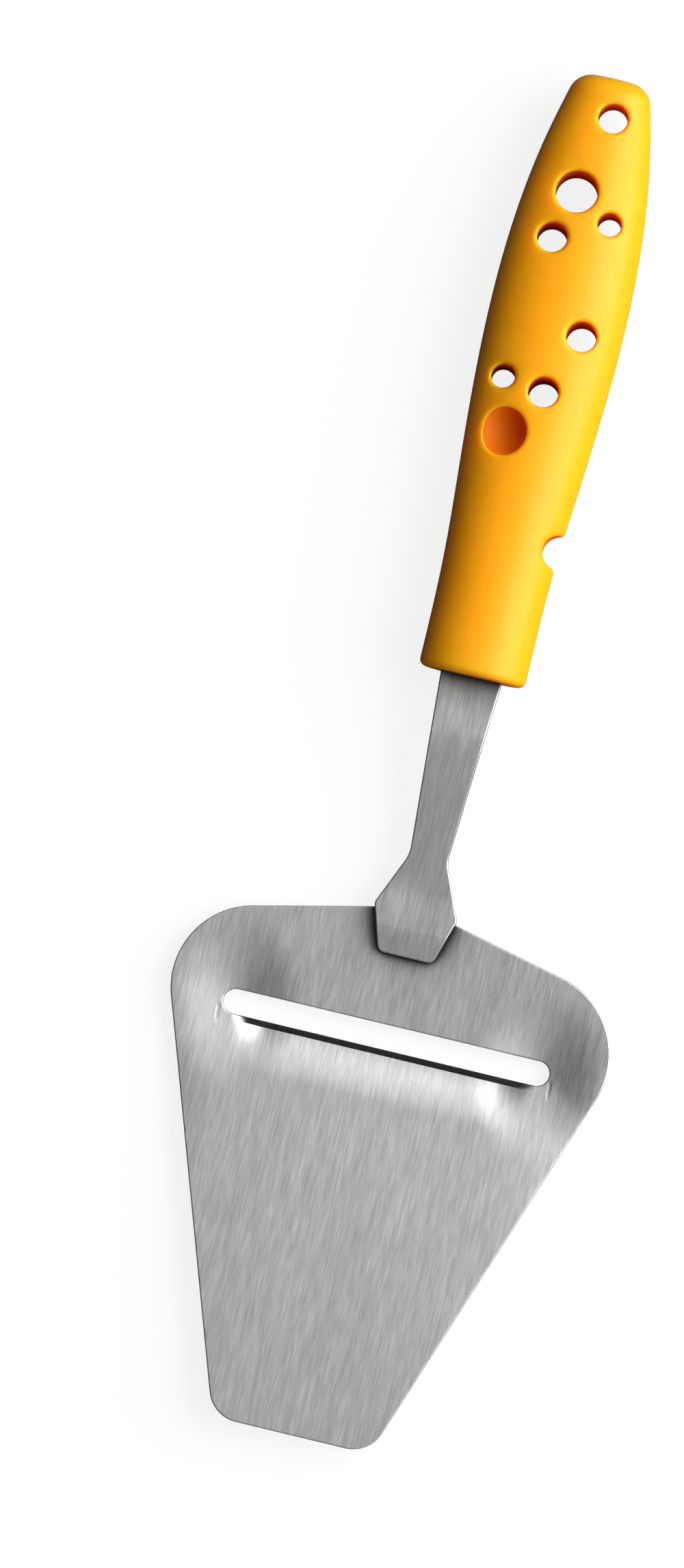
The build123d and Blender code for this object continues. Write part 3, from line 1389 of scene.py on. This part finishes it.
    def close_end(self, draft: MeshDraft, end_y: float, radius: float, toward: int) -> None:
        """Drafts a rounded end with a flat cap.

        Args:
            draft: the draft to add to.
            end_y: where the end is.
            radius: the radius of its rounding.
            toward: 1 for the butt, -1 for the collar.
        """
        rings = []
        for step in range(self.end_steps + 1):
            turn = QUARTER_TURN * step / self.end_steps
            y = end_y - toward * radius * (1 - math.sin(turn))
            rings.append(self.around(y, radius * (1 - math.cos(turn))))
        centre = Vector((0, end_y, self.mid_z))
        for step in range(1, self.wall_steps):
            rings.append([point.lerp(centre, step / self.wall_steps) for point in rings[self.end_steps]])
        draft.stack(rings)
        draft.fan(rings[-1], centre)

    def around(self, y: float, inset: float) -> list[Vector]:
        """Returns a ring of the skin at a place along, less an inset."""
        return [self.skin(FULL_TURN * i / self.columns - math.pi, y, inset) for i in range(self.columns)]

    def build(self) -> bpy.types.Object:
        """Builds and dresses the handle.

        Returns:
            The handle.
        """
        draft = MeshDraft()
        loops = self.cut_hollow(draft) + self.cut_bite(draft)
        for hole in self.holes:
            loops += self.cut_hole(draft, hole)
        flat_loops = [[self.flat_place(*place) for place in loop] for loop in loops]
        low_y, high_y = self.collar_y + self.collar_round, self.butt_y - self.butt_round
        angles = [FULL_TURN * i / self.columns - math.pi for i in range(self.columns + 1)]
        rows = spread(low_y, high_y, self.row_step)
        side = [self.flat_place(math.pi, y) for y in rows]
        end = [self.flat_place(angle, high_y) for angle in reversed(angles)][1:-1]
        border = side + end + [(-x, y) for x, y in reversed(side)] + [(-x, low_y) for x, _ in end]
        seeds = [self.flat_place(angle, y) for y in rows[1:-1] for angle in angles[1:-1]]

        def is_kept(place: Sequence[float]) -> bool:
            """Says whether a place is on the skin, outside all openings."""
            return not any(is_inside(place, loop) for loop in flat_loops)

        clearance = self.row_step * self.clearance_share
        flat, faces = triangles_between([border, *flat_loops], seeds, [], clearance, is_kept)
        indices = draft.ring(self.skin(p.x / self.half_width, p.y) for p in flat)
        for face in faces:
            draft.face([indices[i] for i in face])
        self.close_end(draft, self.butt_y, self.butt_round, 1)
        self.close_end(draft, self.collar_y, self.collar_round, -1)
        skin = SatinPlastic("satin_yellow_plastic", self.skin_colour)
        # The bore material is painted shade for the walls of the holes and the bite and for the hollow's
        # bowl.
        bore_painted_shade = SatinPlastic("deep_orange_bore_painted_shade", self.bore_painted_shade_colour, self.bore_roughness, self.bore_shine)
        piece = draft.make_object("handle_grip", [skin.make(), bore_painted_shade.make()], self.sharp_degrees)
        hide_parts("handle")
        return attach(piece, "root")


@dataclass(frozen=True)
class SoftBox:
    """A soft patch of the sky, with the cosines where it starts and is full, and its strength."""

    direction: Triple
    starts: float
    full: float
    strength: float


@dataclass
class Studio:
    """A white floor, a soft lamp, a dim sky with soft boxes, and the camera."""

    view_height: float = 1.4
    view_place: Plan = (-0.0180, -0.00907)
    view_roll_degrees: float = 13.4
    view_tilt_degrees: Plan = (2.6, 1.7)
    view_span: float = 0.2761
    floor_size: float = 3.0
    floor_level: float = -0.00002
    floor_white: float = 0.86
    floor_bounce: float = 0.10
    shadow_share: float = 0.14
    sky_dark: float = 0.03
    sky_light: float = 0.72
    sky_side: Triple = (1.0, 0.0, 0.0)
    sky_starts: float = -0.35
    sky_full: float = 0.55
    soft_boxes: tuple[SoftBox, ...] = (
        SoftBox((0.72, 0.35, 0.60), 0.78, 0.97, 0.6),
        SoftBox((0.10, 0.48, 0.87), 0.87, 0.93, 0.62),
        SoftBox((0.05, -0.33, 0.94), 0.95, 0.98, 0.28),
    )
    key_place: Triple = (0.92, 0.37, 0.75)
    key_size: float = 1.1
    key_power: float = 26.5

    def build_floor(self) -> None:
        """Makes the floor, which looks white and keeps a soft shadow."""
        half = self.floor_size / 2
        corners = [(-half, -half), (half, -half), (half, half), (-half, half)]
        mesh = bpy.data.meshes.new("floor")
        mesh.from_pydata([(x, y, self.floor_level) for x, y in corners], [], [(0, 1, 2, 3)])
        floor = bpy.data.objects.new("floor", mesh)
        bpy.context.scene.collection.objects.link(floor)
        material = bpy.data.materials.new("white_floor")
        bench = NodeBench(material)
        seen = bench.add("LightPath").outputs["Is Camera Ray"]
        paint = bench.add("BsdfDiffuse")
        bench.join(bench.map_range(seen, NO_TO_YES, (self.floor_bounce, self.floor_white)), paint, "Color")
        shine = bench.add("Emission")
        bench.set(shine, Color=WHITE, Strength=1.0)
        share = bench.map_range(seen, NO_TO_YES, (0.0, 1 - self.shadow_share))
        bench.finish(bench.mix(share, paint.outputs["BSDF"], shine.outputs["Emission"]))
        mesh.materials.append(material)

    def patch(self, bench: NodeBench, place: Socket, soft_box: SoftBox, least: float) -> Socket:
        """Adds the nodes of one patch of the sky.

        Args:
            bench: the sky's node tree.
            place: the direction of view.
            soft_box: the patch.
            least: its light where it hasn't started.

        Returns:
            The patch's light.
        """
        toward = bench.add("VectorMath", operation="DOT_PRODUCT")
        toward.inputs[1].default_value = Vector(soft_box.direction).normalized()
        bench.join(place, toward, 0)
        return bench.map_range(toward.outputs["Value"], (soft_box.starts, soft_box.full),
                               (least, least + soft_box.strength), "SMOOTHSTEP")

    def build_sky(self) -> None:
        """Makes the sky, white to the camera and graded for the light."""
        world = bpy.data.worlds.new("studio_sky")
        bpy.context.scene.world = world
        bench = NodeBench(world)
        place = bench.add("TexCoord").outputs["Generated"]
        slope = SoftBox(self.sky_side, self.sky_starts, self.sky_full, self.sky_light - self.sky_dark)
        total = self.patch(bench, place, slope, self.sky_dark)
        for soft_box in self.soft_boxes:
            total = bench.combine("ADD", total, self.patch(bench, place, soft_box, 0.0))
        light = bench.add("Background")
        bench.join(total, light, "Strength")
        white = bench.add("Background")
        bench.set(white, Color=WHITE)
        seen = bench.add("LightPath").outputs["Is Camera Ray"]
        mixed = bench.mix(seen, light.outputs["Background"], white.outputs["Background"])
        bench.finish(mixed, "OutputWorld")

    def build_lamp(self, name: str, place: Sequence[float], size: float, power: float) -> None:
        """Makes a soft square lamp that points at the middle of the slicer.

        Args:
            name: the lamp's name.
            place: where it is, in metres.
            size: the length of its side.
            power: its power in watts.
        """
        lamp = bpy.data.lights.new(name, "AREA")
        lamp.size, lamp.energy = size, power
        holder = bpy.data.objects.new(name, lamp)
        holder.location = place
        holder.rotation_mode = "QUATERNION"
        holder.rotation_quaternion = (-Vector(place)).to_track_quat("-Z", "Y")
        bpy.context.scene.collection.objects.link(holder)

    def build_camera(self) -> None:
        """Makes the camera, nearly straight above, with the slicer leaning as in the photograph."""
        camera = bpy.data.cameras.new("camera")
        camera.sensor_fit = "VERTICAL"
        camera.angle_y = 2 * math.atan(self.view_span / 2 / self.view_height)
        holder = bpy.data.objects.new("camera", camera)
        turns = zip((self.view_roll_degrees, *self.view_tilt_degrees), "ZXY")
        place = Matrix.Translation((*self.view_place, 0))
        for degrees, axis in turns:
            place @= Matrix.Rotation(math.radians(degrees), 4, axis)
        holder.matrix_world = place @ Matrix.Translation((0, 0, self.view_height))
        bpy.context.scene.collection.objects.link(holder)
        bpy.context.scene.camera = holder

    def build(self) -> None:
        """Makes the whole studio."""
        bpy.context.scene.view_settings.view_transform = "Standard"
        self.build_floor()
        self.build_sky()
        self.build_lamp("key_lamp", self.key_place, self.key_size, self.key_power)
        self.build_camera()


def main() -> None:
    """Builds the slicer's pieces in order, then the studio."""
    logging.basicConfig(level=logging.INFO, format="%(name)s: %(message)s")
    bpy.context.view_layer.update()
    for part in (Blade(), Neck(), Handle()):
        piece = part.build()
        LOG.info("built %s", piece.name)
    Studio().build()


if __name__ == "__main__":
    main()
